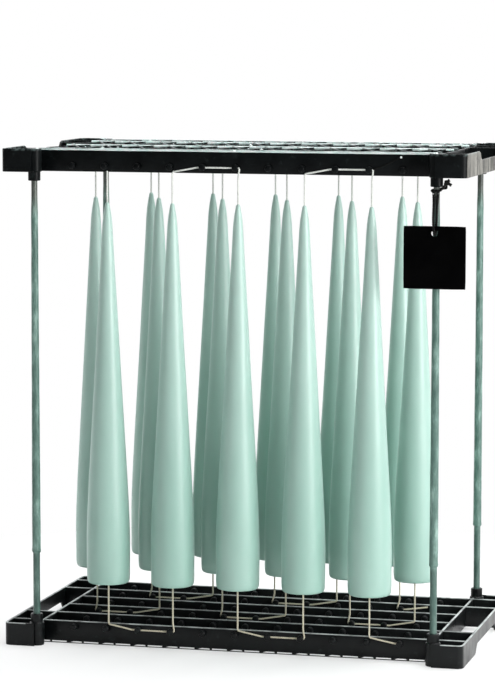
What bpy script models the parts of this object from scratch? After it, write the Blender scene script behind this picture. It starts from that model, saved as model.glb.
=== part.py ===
"""Candle dipping frame: two moulded grids held apart by four posts, strung with
sixteen taper candles on three continuous wicks, with a hang tag on one post.

Metres, +Z up. X is the long side, -Y is the front. The frame stands on z = 0.
"""

import math

import bmesh
import bpy
from mathutils import Matrix, Vector

MM = 0.001

# Grid moulding, drawn as the lower one with its open rim upwards
STUD_PITCH = 32.0 * MM          # studs along every long rib
STUDS = 11
RIBS = 6                        # long ribs, front to back
RIB_PITCH = 41.5 * MM
WALL = 2.0 * MM
RIB_BOTTOM = 2.0 * MM           # the ribs stand clear of the floor on the ears
RIM = 22.0 * MM                 # height of the rim of the lower grid
OUTER_X = 224.0 * MM            # outer face of the end walls
CROSS_X = 192.0 * MM            # middle of the cross walls
EAR = 24.0 * MM                 # how far the corner ears stand out from the ribs
EAR_RADIUS = 6.0 * MM
NOTCH_HALF = 54.0 * MM          # finger notch in each end wall
NOTCH_DEPTH = 8.5 * MM
FRONT = (RIBS - 1) / 2 * RIB_PITCH

# Studs and wicks
# row name, its rib, the stud of its first candle, and how far its runs hang to the
# right of their studs
ROWS = (("front", 1, 2, 2.7 * MM), ("middle", 3, 1, -2.0 * MM), ("back", 5, 2, -1.4 * MM))
STUD_SIDES = 6
STUD_RADIUS = 3.1 * MM
STUD_LENGTH = 5.0 * MM
STUD_DROP = 5.5 * MM            # stud centre below the rim
WICK_RADIUS = 0.85 * MM
GAP = 0.3 * MM
EYE_HALF = WICK_RADIUS + 0.4 * MM
WICK_OUT = WICK_RADIUS + 0.45 * MM   # wick centre in front of the rib face
WICK_PASS = 4.0 * MM            # clear distance from a stud's centre, sideways
WICK_OVER = 4.6 * MM            # clear distance from a stud's centre, above it
WICK_LEVEL = 5.0 * MM           # a link runs level this far beside an eye
WICK_TAIL_RISE = 3.2 * MM       # a loose end slants up this much
WICK_EYE_END = 2.2 * MM         # an end left in an eye sticks out this far from its middle
WICK_BEND = 1.8 * MM            # size of the bend where a run turns

# Posts and sockets
HEIGHT = 478.0 * MM             # over both grids
POST_X = 194.0 * MM
POST_Y = FRONT + 14.0 * MM
BOSS_RADIUS = 7.0 * MM
COLLAR_RADIUS = 5.85 * MM
COLLAR = 8.5 * MM
SOCKET_FLOOR = 6.0 * MM
POST_LOWER = 3.3 * MM
POST_WAXED = 4.3 * MM           # at the foot of the wax coat
POST_THIN_COAT = 3.4 * MM       # at its top
COAT_FOOT = RIM + COLLAR + 62.5 * MM
COAT_TOP = HEIGHT - RIM - 40.0 * MM
POST_UPPER = 2.9 * MM
SOCKET_RADIUS = POST_LOWER + GAP
UPPER_RIM = HEIGHT - RIM

# Candles
CANDLE_BASE = 62.0 * MM
CANDLE_SIDES = 12
# height above the base and radius of the turned outline
CANDLE_OUTLINE = [(0.0, 17.5), (3.0, 20.1), (9.0, 20.75), (70.0, 20.0), (212.0, 12.1),
                  (318.0, 6.2), (348.0, 4.4), (364.0, 2.0)]
BORE_RADIUS = WICK_RADIUS + GAP

# Hang tag and its cord
TAG_SIDE = 58.0 * MM
TAG_THICK = 1.8 * MM
TAG_HOLE_RADIUS = 3.2 * MM
TAG_HOLE_DROP = 6.6 * MM
HOLE_Z = 405.2 * MM
CORD_RADIUS = 1.2 * MM
CORD_SIDE = 1.3 * MM
RING_Z = 443.4 * MM
SWING_Z = 440.6 * MM            # the tag and its cord swing about this height
SWING_Y = -POST_Y - POST_UPPER - 2 * GAP - CORD_RADIUS
STRAND_BACK_Y = -POST_Y - POST_WAXED - GAP - CORD_RADIUS
TAG_BACK_Y = STRAND_BACK_Y - CORD_RADIUS - GAP
STRAND_FRONT_Y = TAG_BACK_Y - TAG_THICK - GAP - CORD_RADIUS
KNOT = Vector((POST_X + 9.8 * MM, -POST_Y - 3.0 * MM, 451.5 * MM))
KNOT_RADIUS = 2.5 * MM
KNOT_END_RADIUS = 1.1 * MM


def clear_scene():
    for obj in list(bpy.data.objects):
        bpy.data.objects.remove(obj, do_unlink=True)


def material(name, colour, roughness):
    mat = bpy.data.materials.new(name)
    mat.use_nodes = True
    shader = mat.node_tree.nodes["Principled BSDF"]
    shader.inputs["Base Color"].default_value = (*colour, 1.0)
    shader.inputs["Roughness"].default_value = roughness
    shader.inputs["Metallic"].default_value = 0.0
    return mat


def place(name, mesh, mat):
    obj = bpy.data.objects.new(name, mesh)
    bpy.context.scene.collection.objects.link(obj)
    if mat and not mesh.materials:
        mesh.materials.append(mat)
    return obj


def mesh_from(bm, name, smooth=False):
    bmesh.ops.recalc_face_normals(bm, faces=bm.faces)
    mesh = bpy.data.meshes.new(name)
    bm.to_mesh(mesh)
    bm.free()
    if smooth:
        mesh.shade_smooth()
        mesh.set_sharp_from_angle(angle=math.radians(35))
    return mesh


def add_box(bm, x, y, z):
    """Add a box between the pairs x, y and z."""
    size = [b - a for a, b in (x, y, z)]
    middle = [(a + b) / 2 for a, b in (x, y, z)]
    matrix = Matrix.Translation(middle) @ Matrix.Diagonal((*size, 1.0))
    bmesh.ops.create_cube(bm, size=1.0, matrix=matrix)


def add_prism(bm, outline, axis, start, end):
    """Add a solid: a closed outline of (u, v) carried along an axis ('y' or 'z')."""
    def point(u, v, w):
        return (u, w, v) if axis == "y" else (u, v, w)

    rings = [[bm.verts.new(point(u, v, w)) for u, v in outline] for w in (start, end)]
    for ring in rings:
        bm.faces.new(ring)
    count = len(outline)
    for i in range(count):
        j = (i + 1) % count
        bm.faces.new((rings[0][i], rings[0][j], rings[1][j], rings[1][i]))


def circle(cx, cy, radius, sides, first=0.0, last=2 * math.pi):
    """Points on an arc; a full circle doesn't repeat its first point."""
    full = abs(last - first - 2 * math.pi) < 1e-6
    steps = sides if full else sides - 1
    turns = [first + (last - first) * i / steps for i in range(sides)]
    return [(cx + radius * math.cos(t), cy + radius * math.sin(t)) for t in turns]


def stud_x(number):
    return (number - (STUDS + 1) / 2) * STUD_PITCH


def rib_y(number):
    return (number - (RIBS + 1) / 2) * RIB_PITCH


def end_wall_outline(side):
    """The thin wall round one end: ear, end wall, ear, as seen from above."""
    def run(inset):
        x, y = OUTER_X - inset, FRONT + EAR - inset
        radius = EAR_RADIUS - inset
        front = circle(x - radius, -y + radius, radius, 4, -math.pi / 2, 0.0)
        back = circle(x - radius, y - radius, radius, 4, 0.0, math.pi / 2)
        return [(POST_X, -y)] + front + back + [(POST_X, y)]

    outline = run(0.0) + run(WALL)[::-1]
    return [(side * x, y) for x, y in outline]


def union(name, first, others):
    """Join overlapping closed meshes into one body with EXACT booleans."""
    base = place(name, first, None)
    for index, mesh in enumerate(others):
        tool = place(f"{name}_tool_{index}", mesh, None)
        tool.hide_render = True
        tool.display_type = "WIRE"
        joint = base.modifiers.new(f"join_{index}", "BOOLEAN")
        joint.operation = "UNION"
        joint.solver = "EXACT"
        joint.use_self = True
        joint.object = tool
    return base


def cut(base, mesh, name):
    tool = place(name, mesh, None)
    tool.hide_render = True
    tool.display_type = "WIRE"
    step = base.modifiers.new(name, "BOOLEAN")
    step.operation = "DIFFERENCE"
    step.solver = "EXACT"
    step.object = tool


def freeze(base, name):
    """Keep the result of an object's modifiers as a plain mesh, and drop its tools."""
    graph = bpy.context.evaluated_depsgraph_get()
    mesh = bpy.data.meshes.new_from_object(base.evaluated_get(graph))
    mesh.name = name
    for obj in list(bpy.data.objects):
        if obj.display_type == "WIRE" and obj.hide_render:
            bpy.data.objects.remove(obj, do_unlink=True)
    bpy.data.objects.remove(base, do_unlink=True)
    return mesh


def eyed_studs(first, side):
    """Studs whose eye a wick goes through, on a rib strung from the given stud.

    Both grids are one moulding and the upper one is turned over, so the set
    also holds the mirrored places of the upper links.
    """
    steps = (1, 2) if side > 0 else (0, 1)
    below = {link + step for link in range(first, STUDS + 1, 4) for step in steps}
    above = {link + step for link in range(first + 2, STUDS - 2, 4) for step in steps}
    eyed = below | {STUDS + 1 - stud for stud in above}
    return {stud for stud in eyed if stud <= STUDS}


def add_stud(bm, x, face_y, z, eyed):
    """A short round peg on a rib's front face, root sunk into the rib."""
    root, tip = face_y + 0.6 * MM, face_y - STUD_LENGTH
    if not eyed:
        add_prism(bm, circle(x, z, STUD_RADIUS, STUD_SIDES, math.pi / 2, 5 * math.pi / 2),
                  "y", root, tip)
        return
    start = math.asin(EYE_HALF / STUD_RADIUS)
    cap = face_y - 2 * WICK_OUT - 0.1 * MM
    for up in (1, -1):
        half = circle(0.0, 0.0, STUD_RADIUS, 4, start, math.pi - start)
        add_prism(bm, [(x + u, z + up * v) for u, v in half], "y", root, cap)
    add_prism(bm, circle(x, z, STUD_RADIUS, STUD_SIDES, math.pi / 2, 5 * math.pi / 2),
              "y", cap + 0.2 * MM, tip)


def build_grid_mesh():
    """The moulding that both grids share, with its rim upwards."""
    reach = OUTER_X - WALL / 2
    ribs = bmesh.new()
    for number in range(1, RIBS + 1):
        y = rib_y(number)
        long_rib = number in (1, 2, RIBS - 1, RIBS)
        x = reach if long_rib else CROSS_X
        add_box(ribs, (-x, x), (y - WALL / 2, y + WALL / 2), (RIB_BOTTOM, RIM))
    walls = bmesh.new()
    for side in (-1, 1):
        x = side * CROSS_X
        add_box(walls, (x - WALL / 2, x + WALL / 2), (-POST_Y, POST_Y), (RIB_BOTTOM, RIM))
    ends = bmesh.new()
    for side in (-1, 1):
        add_prism(ends, end_wall_outline(side), "z", 0.0, RIM)
    bosses = bmesh.new()
    for sx in (-1, 1):
        for sy in (-1, 1):
            x, y = sx * POST_X, sy * POST_Y
            add_prism(bosses, circle(x, y, BOSS_RADIUS, 16), "z", 0.0, RIM)
            add_prism(bosses, circle(x, y, COLLAR_RADIUS, 16), "z", RIM - WALL, RIM + COLLAR)
    studs = bmesh.new()
    for _, rib, first, side in ROWS:
        eyed = eyed_studs(first, side)
        for number in range(1, STUDS + 1):
            add_stud(studs, stud_x(number), rib_y(rib) - WALL / 2, RIM - STUD_DROP,
                     number in eyed)
    pieces = [mesh_from(bm, "piece") for bm in (ribs, walls, ends, bosses, studs)]
    base = union("grid", pieces[0], pieces[1:])

    sockets = bmesh.new()
    for sx in (-1, 1):
        for sy in (-1, 1):
            ring = circle(sx * POST_X, sy * POST_Y, SOCKET_RADIUS, 12)
            add_prism(sockets, ring, "z", SOCKET_FLOOR, RIM + COLLAR + WALL)
    cut(base, mesh_from(sockets, "sockets"), "socket_cut")
    notches = bmesh.new()
    for side in (-1, 1):
        x = sorted((side * (OUTER_X - 2 * WALL), side * (OUTER_X + WALL)))
        add_box(notches, x, (-NOTCH_HALF, NOTCH_HALF), (-WALL, NOTCH_DEPTH))
    cut(base, mesh_from(notches, "notches"), "notch_cut")
    return freeze(base, "grid_moulding")


def turned(name, outline, bore, sides):
    """A closed ring of (z, radius) turned round Z, with a straight bore or none."""
    bm = bmesh.new()
    rings = []
    for z, radius in outline:
        rings.append([bm.verts.new((x, y, z)) for x, y in circle(0, 0, radius, sides)])
    if bore:
        for z in (outline[-1][0], outline[0][0]):
            rings.append([bm.verts.new((x, y, z)) for x, y in circle(0, 0, bore, sides)])
        rings.append(rings[0])
    else:
        bm.faces.new(rings[0])
        bm.faces.new(rings[-1])
    for low, high in zip(rings, rings[1:]):
        for i in range(sides):
            j = (i + 1) % sides
            bm.faces.new((low[i], low[j], high[j], high[i]))
    return mesh_from(bm, name, smooth=True)


def rounded(points, radius, steps=2):
    """Replace each inner corner of a route with a short arc-like curve."""
    route = [points[0]]
    for before, corner, after in zip(points, points[1:], points[2:]):
        reach = min(radius, (before - corner).length * 0.45, (after - corner).length * 0.45)
        start = corner + (before - corner).normalized() * reach
        end = corner + (after - corner).normalized() * reach
        for i in range(steps + 1):
            t = i / steps
            route.append(start * (1 - t) ** 2 + corner * 2 * t * (1 - t) + end * t ** 2)
    return route + [points[-1]]


def tube(name, points, radius, mat, resolution=2):
    """A plain tube along a route, as a curve with a bevel and filled caps."""
    curve = bpy.data.curves.new(name, "CURVE")
    curve.dimensions = "3D"
    curve.bevel_depth = radius
    curve.bevel_resolution = resolution
    curve.use_fill_caps = True
    line = curve.splines.new("POLY")
    line.points.add(len(points) - 1)
    for target, point in zip(line.points, points):
        target.co = (*point, 1.0)
    curve.materials.append(mat)
    obj = bpy.data.objects.new(name, curve)
    bpy.context.scene.collection.objects.link(obj)
    return obj


def link_points(run, stud, side, z, back):
    """A link from the run beside a stud to the run two studs on, as (x, z) points.

    It goes straight through two eyes and slants to the run that has none.
    """
    there = run + 2 * STUD_PITCH
    if side > 0:
        return [(run, z + back), (stud_x(stud + 1) - WICK_LEVEL, z),
                (stud_x(stud + 2) + WICK_PASS, z), (there, z + 2 * back)]
    return [(run, z + 2 * back), (stud_x(stud) - WICK_PASS, z),
            (stud_x(stud + 1) + WICK_LEVEL, z), (there, z + back)]


def wick_points(rib, first, side):
    """One wick: down and up beside its studs, and through the eyes between them."""
    y = rib_y(rib) - WALL / 2 - WICK_OUT
    low, high = RIM - STUD_DROP, UPPER_RIM + STUD_DROP
    studs = range(first, STUDS + 1, 2)
    route = [(stud_x(first) + side, high - WICK_OVER)]
    for count, stud in enumerate(studs[:-1]):
        z, back = (low, WICK_OVER) if count % 2 == 0 else (high, -WICK_OVER)
        route += link_points(stud_x(stud) + side, stud, side, z, back)
    last = studs[-1]
    if last == STUDS:
        route.append((stud_x(last) + side, high - WICK_OVER))
    else:
        route += link_points(stud_x(last) + side, last, side, low, WICK_OVER)[:3]
        if side > 0:
            route[-1] = (stud_x(STUDS) + WICK_EYE_END, low)
        else:
            route[-1] = (stud_x(last) + WICK_LEVEL, low)
            route.append((stud_x(STUDS) - WICK_LEVEL, low + WICK_TAIL_RISE))
    return rounded([Vector((x, y, z)) for x, z in route], WICK_BEND)


def hitch_points():
    """The turn of cord round the post, from its front left round the back to the knot."""
    ring = POST_UPPER + GAP + CORD_RADIUS
    points = []
    for degrees in (232, 195, 150, 105, 65, 30):
        t = math.radians(degrees)
        z = RING_Z + 2.5 * MM * (232 - degrees) / 202
        points.append(Vector((POST_X + ring * math.cos(t), -POST_Y + ring * math.sin(t), z)))
    points.append(Vector((POST_X + 8.4 * MM, -POST_Y + 1.2 * MM, RING_Z + 3.0 * MM)))
    towards = KNOT - points[-1]
    points.append(KNOT - towards.normalized() * (KNOT_RADIUS + 4 * GAP))
    return smooth_route(points, 2)


def cord_points():
    """The tag's cord: down the front, back through the tag's hole and up again."""
    left, right = POST_X - CORD_SIDE, POST_X + CORD_SIDE
    points = [
        Vector((left - 0.8 * MM, SWING_Y, SWING_Z)),
        Vector((left - 0.3 * MM, SWING_Y - 1.6 * MM, SWING_Z - 9 * MM)),
        Vector((left, STRAND_FRONT_Y + 1.0 * MM, HOLE_Z + 14 * MM)),
        Vector((left + 0.4 * MM, STRAND_FRONT_Y, HOLE_Z + 6 * MM)),
        Vector((POST_X - 0.5 * MM, STRAND_FRONT_Y, HOLE_Z + 0.6 * MM)),
        Vector((POST_X, TAG_BACK_Y - TAG_THICK / 2, HOLE_Z - 1.0 * MM)),
        Vector((POST_X + 0.5 * MM, STRAND_BACK_Y, HOLE_Z + 0.6 * MM)),
        Vector((right - 0.4 * MM, STRAND_BACK_Y, HOLE_Z + 6 * MM)),
        Vector((right, STRAND_BACK_Y, HOLE_Z + 14 * MM)),
        Vector((right + 0.3 * MM, STRAND_BACK_Y - 0.3 * MM, SWING_Z - 9 * MM)),
        Vector((right + 0.8 * MM, SWING_Y, SWING_Z)),
    ]
    return smooth_route(points, 3)


def smooth_route(points, steps):
    """A Catmull-Rom curve through the points."""
    padded = [2 * points[0] - points[1]] + points + [2 * points[-1] - points[-2]]
    route = []
    for a, b, c, d in zip(padded, padded[1:], padded[2:], padded[3:]):
        for i in range(steps):
            t = i / steps
            route.append(0.5 * (2 * b + (c - a) * t + (2 * a - 5 * b + 4 * c - d) * t ** 2
                                + (3 * b - a - 3 * c + d) * t ** 3))
    return route + [points[-1]]


def build_tag(mat):
    """Square card with one hole; its origin is in the swing axis of its cord."""
    half = TAG_SIDE / 2
    top = TAG_HOLE_DROP
    bm = bmesh.new()
    y = TAG_BACK_Y - TAG_THICK / 2 - SWING_Y
    drop = HOLE_Z - SWING_Z
    depth = (y - TAG_THICK / 2, y + TAG_THICK / 2)
    add_box(bm, (-half, half), depth, (drop + top - TAG_SIDE, drop + top))
    tag = place("hang_tag", mesh_from(bm, "hang_tag"), mat)
    tag.location = (POST_X, SWING_Y, SWING_Z)
    hole = bmesh.new()
    add_prism(hole, circle(0, drop, TAG_HOLE_RADIUS, 16), "y", y - TAG_THICK, y + TAG_THICK)
    cut(tag, mesh_from(hole, "tag_hole"), "tag_hole_cut")
    bpy.data.objects["tag_hole_cut"].location = tag.location


def build_knot(mat):
    """The knot beside the collar: two cut ends, and the run down to the tag's cord."""
    bm = bmesh.new()
    bmesh.ops.create_icosphere(bm, subdivisions=1, radius=KNOT_RADIUS)
    bmesh.ops.translate(bm, verts=bm.verts, vec=KNOT)
    ends = bmesh.new()
    strand_top = Vector((POST_X + CORD_SIDE + 0.8 * MM, SWING_Y, SWING_Z + CORD_RADIUS))
    for tip in (KNOT + Vector((3.2, -1.2, 3.2)) * MM, KNOT + Vector((4.4, -0.6, -2.6)) * MM,
                strand_top):
        run = tip - KNOT
        spin = run.to_track_quat("Z", "Y").to_matrix().to_4x4()
        bmesh.ops.create_cone(ends, cap_ends=True, segments=8, radius1=KNOT_END_RADIUS,
                              radius2=KNOT_END_RADIUS, depth=run.length,
                              matrix=Matrix.Translation((tip + KNOT) / 2) @ spin)
    base = union("cord_knot", mesh_from(bm, "knot"), [mesh_from(ends, "knot_ends")])
    base.data.materials.append(mat)


def main():
    clear_scene()
    black = material("black_plastic", (0.012, 0.013, 0.014), 0.38)
    post_paint = material("waxed_post", (0.09, 0.17, 0.14), 0.4)
    wax = material("green_wax", (0.42, 0.64, 0.56), 0.35)
    cotton = material("wick_cotton", (0.72, 0.68, 0.56), 0.85)
    card = material("black_card", (0.006, 0.006, 0.006), 0.3)
    cord_black = material("black_cord", (0.02, 0.02, 0.02), 0.6)

    moulding = build_grid_mesh()
    place("bottom_grid", moulding, black)
    upper = place("top_grid", moulding, black)
    upper.rotation_euler = (0.0, math.pi, 0.0)
    upper.location = (0.0, 0.0, HEIGHT)

    post = turned("post", [(SOCKET_FLOOR + GAP, POST_LOWER), (COAT_FOOT, POST_LOWER),
                           (COAT_FOOT + 1.5 * MM, POST_WAXED), (COAT_TOP, POST_THIN_COAT),
                           (COAT_TOP + 16 * MM, POST_UPPER),
                           (HEIGHT - SOCKET_FLOOR - GAP, POST_UPPER)], None, 12)
    for sx, side in ((-1, "left"), (1, "right")):
        for sy, row in ((-1, "front"), (1, "back")):
            obj = place(f"post_{row}_{side}", post, post_paint)
            obj.location = (sx * POST_X, sy * POST_Y, 0.0)

    outline = [(z * MM, r * MM) for z, r in CANDLE_OUTLINE]
    candle = turned("candle", outline, BORE_RADIUS, CANDLE_SIDES)
    for row, rib, first, side in ROWS:
        y = rib_y(rib) - WALL / 2 - WICK_OUT
        for count, stud in enumerate(range(first, STUDS + 1, 2), 1):
            obj = place(f"candle_{row}_{count}", candle, wax)
            obj.location = (stud_x(stud) + side, y, CANDLE_BASE)
        tube(f"wick_{row}", wick_points(rib, first, side), WICK_RADIUS, cotton)

    build_tag(card)
    tube("cord_hitch", hitch_points(), CORD_RADIUS, cord_black)
    tube("tag_cord", cord_points(), CORD_RADIUS, cord_black)
    build_knot(cord_black)


main()
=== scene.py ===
import math
import random

import bmesh
import bpy
from mathutils import Matrix, Vector, noise


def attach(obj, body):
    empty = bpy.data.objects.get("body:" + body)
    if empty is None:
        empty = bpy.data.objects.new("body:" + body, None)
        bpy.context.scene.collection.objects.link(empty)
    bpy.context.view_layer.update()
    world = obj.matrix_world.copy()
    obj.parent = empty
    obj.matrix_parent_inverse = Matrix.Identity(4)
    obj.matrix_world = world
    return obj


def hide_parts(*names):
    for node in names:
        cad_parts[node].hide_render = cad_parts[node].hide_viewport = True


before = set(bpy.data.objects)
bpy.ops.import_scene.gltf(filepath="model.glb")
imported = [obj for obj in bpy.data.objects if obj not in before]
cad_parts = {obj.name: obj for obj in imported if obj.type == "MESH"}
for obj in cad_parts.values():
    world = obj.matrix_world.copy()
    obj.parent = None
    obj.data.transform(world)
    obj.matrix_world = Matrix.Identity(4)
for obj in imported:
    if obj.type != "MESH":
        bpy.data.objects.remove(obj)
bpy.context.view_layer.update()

MM = 0.001
UP = Vector((0.0, 0.0, 1.0))

# The frame's own sizes, the same as in the CAD model
STUD_PITCH = 32.0 * MM
STUDS = 11
RIBS = 6
RIB_PITCH = 41.5 * MM
WALL = 2.0 * MM
RIB_BOTTOM = 2.0 * MM
RIM = 22.0 * MM
OUTER_X = 224.0 * MM
CROSS_X = 192.0 * MM
EAR = 24.0 * MM
EAR_RADIUS = 6.0 * MM
NOTCH_HALF = 54.0 * MM
NOTCH_DEPTH = 8.5 * MM
FRONT = (RIBS - 1) / 2 * RIB_PITCH
# row name, its rib, the stud of its first candle, and how far its runs hang to the
# right of their studs
ROWS = (("front", 1, 2, 2.7 * MM), ("middle", 3, 1, -2.0 * MM), ("back", 5, 2, -1.4 * MM))
STUD_RADIUS = 3.1 * MM
STUD_LENGTH = 5.0 * MM
STUD_DROP = 5.5 * MM
WICK_RADIUS = 0.85 * MM
EYE_HALF = WICK_RADIUS + 0.4 * MM
WICK_OUT = WICK_RADIUS + 0.45 * MM
WICK_PASS = 4.0 * MM
WICK_OVER = 4.6 * MM
WICK_LEVEL = 5.0 * MM
WICK_TAIL_RISE = 3.2 * MM       # a loose end slants up this much
WICK_EYE_END = 2.2 * MM         # an end left in an eye sticks out this far from its middle
WICK_BEND = 1.8 * MM
GAP = 0.3 * MM
POST_X = 194.0 * MM
POST_Y = FRONT + 14.0 * MM
BOSS_RADIUS = 7.0 * MM
COLLAR_RADIUS = 5.85 * MM
COLLAR = 8.5 * MM
SOCKET_FLOOR = 6.0 * MM
SOCKET_RADIUS = 3.6 * MM
POST_LOWER = 3.3 * MM
POST_WAXED = 4.3 * MM
POST_THIN_COAT = 3.4 * MM
POST_UPPER = 2.9 * MM
HEIGHT = 478.0 * MM
UPPER_RIM = HEIGHT - RIM
CANDLE_BASE = 62.0 * MM
CANDLE_OUTLINE = [(0.0, 17.5), (3.0, 20.1), (9.0, 20.75), (70.0, 20.0), (212.0, 12.1),
                  (318.0, 6.2), (348.0, 4.4), (364.0, 2.0)]
TAG_SIDE = 58.0 * MM
TAG_THICK = 1.8 * MM
TAG_HOLE_RADIUS = 3.2 * MM
TAG_HOLE_DROP = 6.6 * MM
HOLE_Z = 405.2 * MM
CORD_RADIUS = 1.2 * MM
CORD_SIDE = 1.3 * MM
RING_Z = 443.4 * MM
SWING_Z = 440.6 * MM
SWING_Y = -POST_Y - POST_UPPER - 2 * GAP - CORD_RADIUS
STRAND_BACK_Y = -POST_Y - POST_WAXED - GAP - CORD_RADIUS
TAG_BACK_Y = STRAND_BACK_Y - CORD_RADIUS - GAP
STRAND_FRONT_Y = TAG_BACK_Y - TAG_THICK - GAP - CORD_RADIUS
KNOT = Vector((POST_X + 9.8 * MM, -POST_Y - 3.0 * MM, 451.5 * MM))
KNOT_RADIUS = 2.5 * MM

LATTICE_STEP = STUD_PITCH / 2     # how far a lattice bar moves along X in one rib bay
LATTICE_HALF = 0.9 * MM
LATTICE_HIGH = 2.4 * MM
LATTICE_EDGE = 0.6 * MM           # height of the thin bar under the first and last rib
WAXED_RIBS = (1, 3, 5, 6)         # ribs of the upper grid that carry a run of cooled wax
CORD_LAY = 4.2 * MM               # length of one full turn of the cord's plies
WICK_LAY = 5.0 * MM
KNOT_TIPS = (Vector((2.6, -1.0, 2.4)) * MM, Vector((4.2, -0.6, -2.2)) * MM)
COAT_FOOT = RIM + COLLAR + 62.5 * MM
COAT_TOP = UPPER_RIM - 40 * MM

# How much lower the wax coat starts on one post than on the others
POST_STEP_SHIFT = {("front", "left"): -3.5 * MM}

# How much of the pale film on the upper grid's end faces the lower grid's have
LOWER_END_FILM = 0.12
# The loose wick end on the front rail: where it leaves its stud, and its tip
TAIL_STUD = 10
TAIL_RUN = (3.0 * MM, 30.0 * MM)
TAIL_Z = (HEIGHT - 16.5 * MM, HEIGHT - 4.5 * MM)
TAIL_RADIUS = 0.75 * MM

# Where the camera stands and its lens
CAMERA_PLACE = Vector((0.7131, -2.8892, 0.6067))
CAMERA_YAW = math.radians(14.139)      # to the left of straight back
CAMERA_PITCH = math.radians(6.226)     # downwards
CAMERA_ROLL = math.radians(0.088)
CAMERA_LENS = 159.2                    # mm, with the picture's height as 36 mm


# Camera ---------------------------------------------------------------------------------

def build_camera():
    """The camera, turned by its yaw, pitch and roll."""
    yaw, pitch, roll = CAMERA_YAW, CAMERA_PITCH, CAMERA_ROLL
    ahead = Vector((-math.sin(yaw) * math.cos(pitch), math.cos(yaw) * math.cos(pitch),
                    -math.sin(pitch)))
    level = Vector((math.cos(yaw), math.sin(yaw), 0.0))
    above = level.cross(ahead)
    right = level * math.cos(roll) + above * math.sin(roll)
    up = above * math.cos(roll) - level * math.sin(roll)
    data = bpy.data.cameras.new("camera")
    data.sensor_fit = "AUTO"
    data.sensor_width = 36.0
    data.lens = CAMERA_LENS
    data.clip_start = 0.05
    data.clip_end = 100.0
    camera = bpy.data.objects.new("camera", data)
    bpy.context.scene.collection.objects.link(camera)
    turn = Matrix((right, up, -ahead)).transposed().to_4x4()
    camera.matrix_world = Matrix.Translation(CAMERA_PLACE) @ turn
    bpy.context.scene.camera = camera


# Shaping tools --------------------------------------------------------------------------

def place(name, mesh, mat, body, slot, *nodes):
    """Put a mesh in the scene as a piece of the object, in place of CAD nodes."""
    obj = bpy.data.objects.new(name, mesh)
    bpy.context.scene.collection.objects.link(obj)
    mesh.materials.append(mat)
    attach(obj, body)
    if nodes:
        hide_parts(*nodes)
    return obj


def mesh_from(bm, name, sharp=35.0):
    bmesh.ops.recalc_face_normals(bm, faces=bm.faces)
    mesh = bpy.data.meshes.new(name)
    bm.to_mesh(mesh)
    bm.free()
    mesh.shade_smooth()
    mesh.set_sharp_from_angle(angle=math.radians(sharp))
    return mesh


def smooth_route(points, steps):
    """A Catmull-Rom curve through the points."""
    padded = [2 * points[0] - points[1]] + points + [2 * points[-1] - points[-2]]
    route = []
    for a, b, c, d in zip(padded, padded[1:], padded[2:], padded[3:]):
        for i in range(steps):
            t = i / steps
            route.append(0.5 * (2 * b + (c - a) * t + (2 * a - 5 * b + 4 * c - d) * t ** 2
                                + (3 * b - a - 3 * c + d) * t ** 3))
    return route + [points[-1]]


def rounded(points, radius, steps=4):
    """Replace each inner corner of a route with a short curve."""
    route = [points[0]]
    for before, corner, after in zip(points, points[1:], points[2:]):
        reach = min(radius, (before - corner).length * 0.45, (after - corner).length * 0.45)
        start = corner + (before - corner).normalized() * reach
        end = corner + (after - corner).normalized() * reach
        for i in range(steps + 1):
            t = i / steps
            route.append(start * (1 - t) ** 2 + corner * 2 * t * (1 - t) + end * t ** 2)
    return route + [points[-1]]


def route_length(route):
    return sum((b - a).length for a, b in zip(route, route[1:]))


def evenly(route, step):
    """Points about one step apart along a route, its two ends among them."""
    total = route_length(route)
    count = max(2, round(total / step))
    points = [route[0].copy()]
    walked, index = 0.0, 0
    for i in range(1, count):
        goal = total * i / count
        while walked + (route[index + 1] - route[index]).length < goal:
            walked += (route[index + 1] - route[index]).length
            index += 1
        part = (goal - walked) / (route[index + 1] - route[index]).length
        points.append(route[index].lerp(route[index + 1], part))
    return points + [route[-1].copy()]


def carried_frames(route):
    """A point, a side and an upward direction at each place, turning no more than needed."""
    frames = []
    side = None
    for i, point in enumerate(route):
        ahead = (route[min(i + 1, len(route) - 1)] - route[max(i - 1, 0)]).normalized()
        if side is None:
            side = ahead.orthogonal().normalized()
        side = (side - ahead * side.dot(ahead)).normalized()
        frames.append((point, side, ahead.cross(side)))
    return frames


def add_tube(bm, route, radius, sides):
    """Add a closed tube along a route; radius is a number, or a function of the index."""
    rings = []
    for i, (point, side, up) in enumerate(carried_frames(route)):
        size = radius(i) if callable(radius) else radius
        turns = [2 * math.pi * k / sides for k in range(sides)]
        rings.append([bm.verts.new(point + side * (size * math.cos(t)) + up * (size * math.sin(t)))
                      for t in turns])
    skin(bm, rings)
    bm.faces.new(rings[0])
    bm.faces.new(rings[-1])


def skin(bm, rings, closed=True):
    """Quads between each ring of vertices and the next."""
    for low, high in zip(rings, rings[1:]):
        count = len(low)
        for i in range(count if closed else count - 1):
            j = (i + 1) % count
            bm.faces.new((low[i], low[j], high[j], high[i]))


def add_rope(bm, route, radius, strands, pitch, step, sides=7):
    """Add twisted strands that together have the given outer radius."""
    strand = radius / (1 + 1 / math.sin(math.pi / strands)) if strands > 2 else radius / 2
    offset = radius - strand
    frames = carried_frames(evenly(route, step))
    for number in range(strands):
        walked, points = 0.0, []
        for i, (point, side, up) in enumerate(frames):
            if i:
                walked += (point - frames[i - 1][0]).length
            turn = 2 * math.pi * (walked / pitch + number / strands)
            points.append(point + (side * math.cos(turn) + up * math.sin(turn)) * offset)
        add_tube(bm, points, strand * 1.12, sides)


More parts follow.
